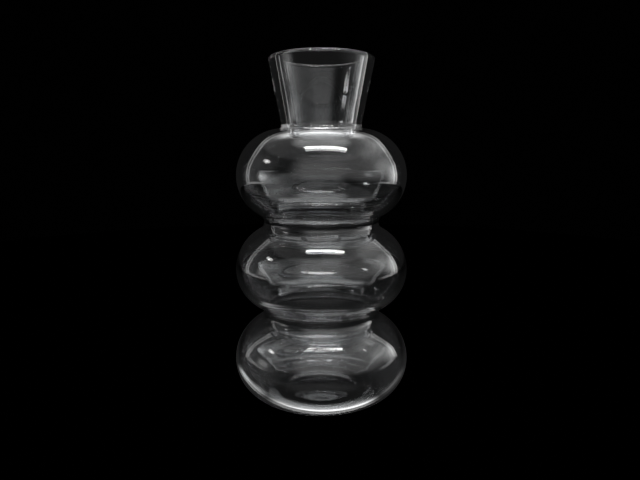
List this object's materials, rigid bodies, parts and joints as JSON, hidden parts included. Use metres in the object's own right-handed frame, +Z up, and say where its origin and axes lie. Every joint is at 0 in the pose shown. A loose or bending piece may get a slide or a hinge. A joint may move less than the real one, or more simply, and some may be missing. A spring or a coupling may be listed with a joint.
{
  "type": "glass vase",
  "caption": "Clear blown-glass vase of stacked round bulbs joined by open waists, with a flared neck, a thick flat rim and a heavy base; holds water and cut stems.",
  "frame": {"origin": "on the table, at the vase's axis, in the plane of the foot ring", "axes": "+Z up along the vase's axis, from the foot to the rim; the vase is round, so X and Y are free"},
  "size_m": [0.137, 0.137, 0.2643],
  "materials": {
    "glass": "clear, colourless, fire-polished"
  },
  "bodies": {
    "root": {"base": "glass", "lower_belly": "glass", "lower_shoulder": "glass", "middle_belly": "glass", "middle_shoulder": "glass", "upper_belly": "glass", "upper_shoulder": "glass", "neck": "glass"}
  },
  "joints": []
}
